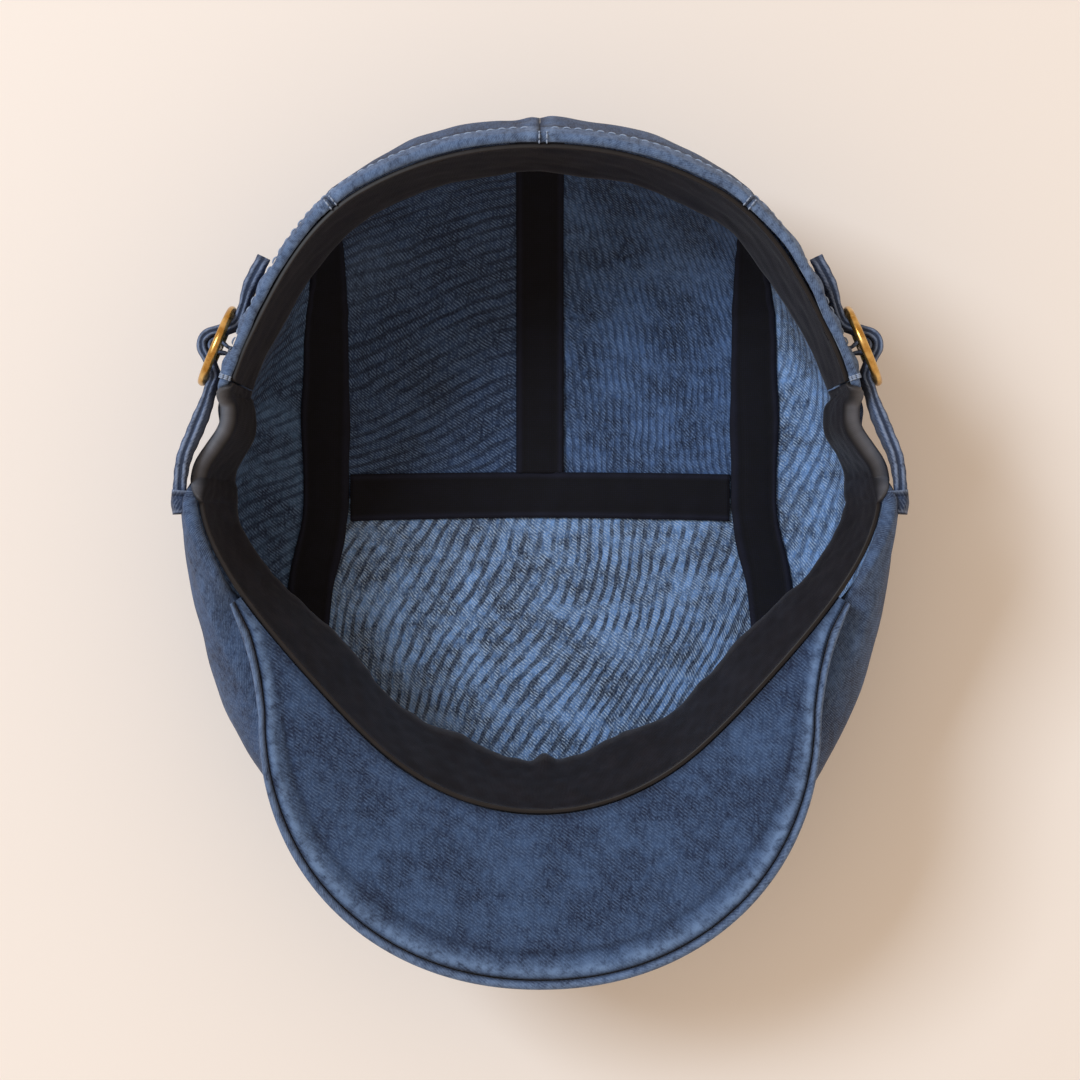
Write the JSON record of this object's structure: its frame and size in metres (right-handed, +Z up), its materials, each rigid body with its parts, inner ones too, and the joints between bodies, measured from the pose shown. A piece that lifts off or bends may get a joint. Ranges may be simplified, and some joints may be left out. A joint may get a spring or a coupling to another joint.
{
  "type": "denim flat cap",
  "caption": "Soft denim flat cap with a panelled crown, sewn tapes, dark sweatband, stiff peak and brass strap slides, resting on its crown.",
  "frame": {"origin": "middle of the foot of the cap's box, on the surface that the crown rests on", "axes": "+Z up through the head opening, +Y to the back of the cap, -Y to the tip of the peak, +X to the picture's right"},
  "size_m": [0.2114, 0.2524, 0.096],
  "materials": {
    "denim": "washed blue denim twill",
    "binding_tape": "matt navy black woven tape",
    "sweatband": "charcoal satin weave band",
    "brass": "polished brass wire"
  },
  "bodies": {
    "root": {"crown_front": "denim", "crown_back_left": "denim", "crown_back_right": "denim", "crown_side_left": "denim", "crown_side_right": "denim", "seam_tape_centre": "binding_tape", "seam_tape_cross": "binding_tape", "seam_tape_left": "binding_tape", "seam_tape_right": "binding_tape", "sweatband_back": "sweatband", "sweatband_front": "sweatband", "peak_top": "denim", "peak_underside": "denim", "strap_left": "denim", "strap_right": "denim", "buckle_left": "brass", "buckle_right": "brass", "keeper_left": "denim", "keeper_right": "denim"}
  },
  "joints": []
}
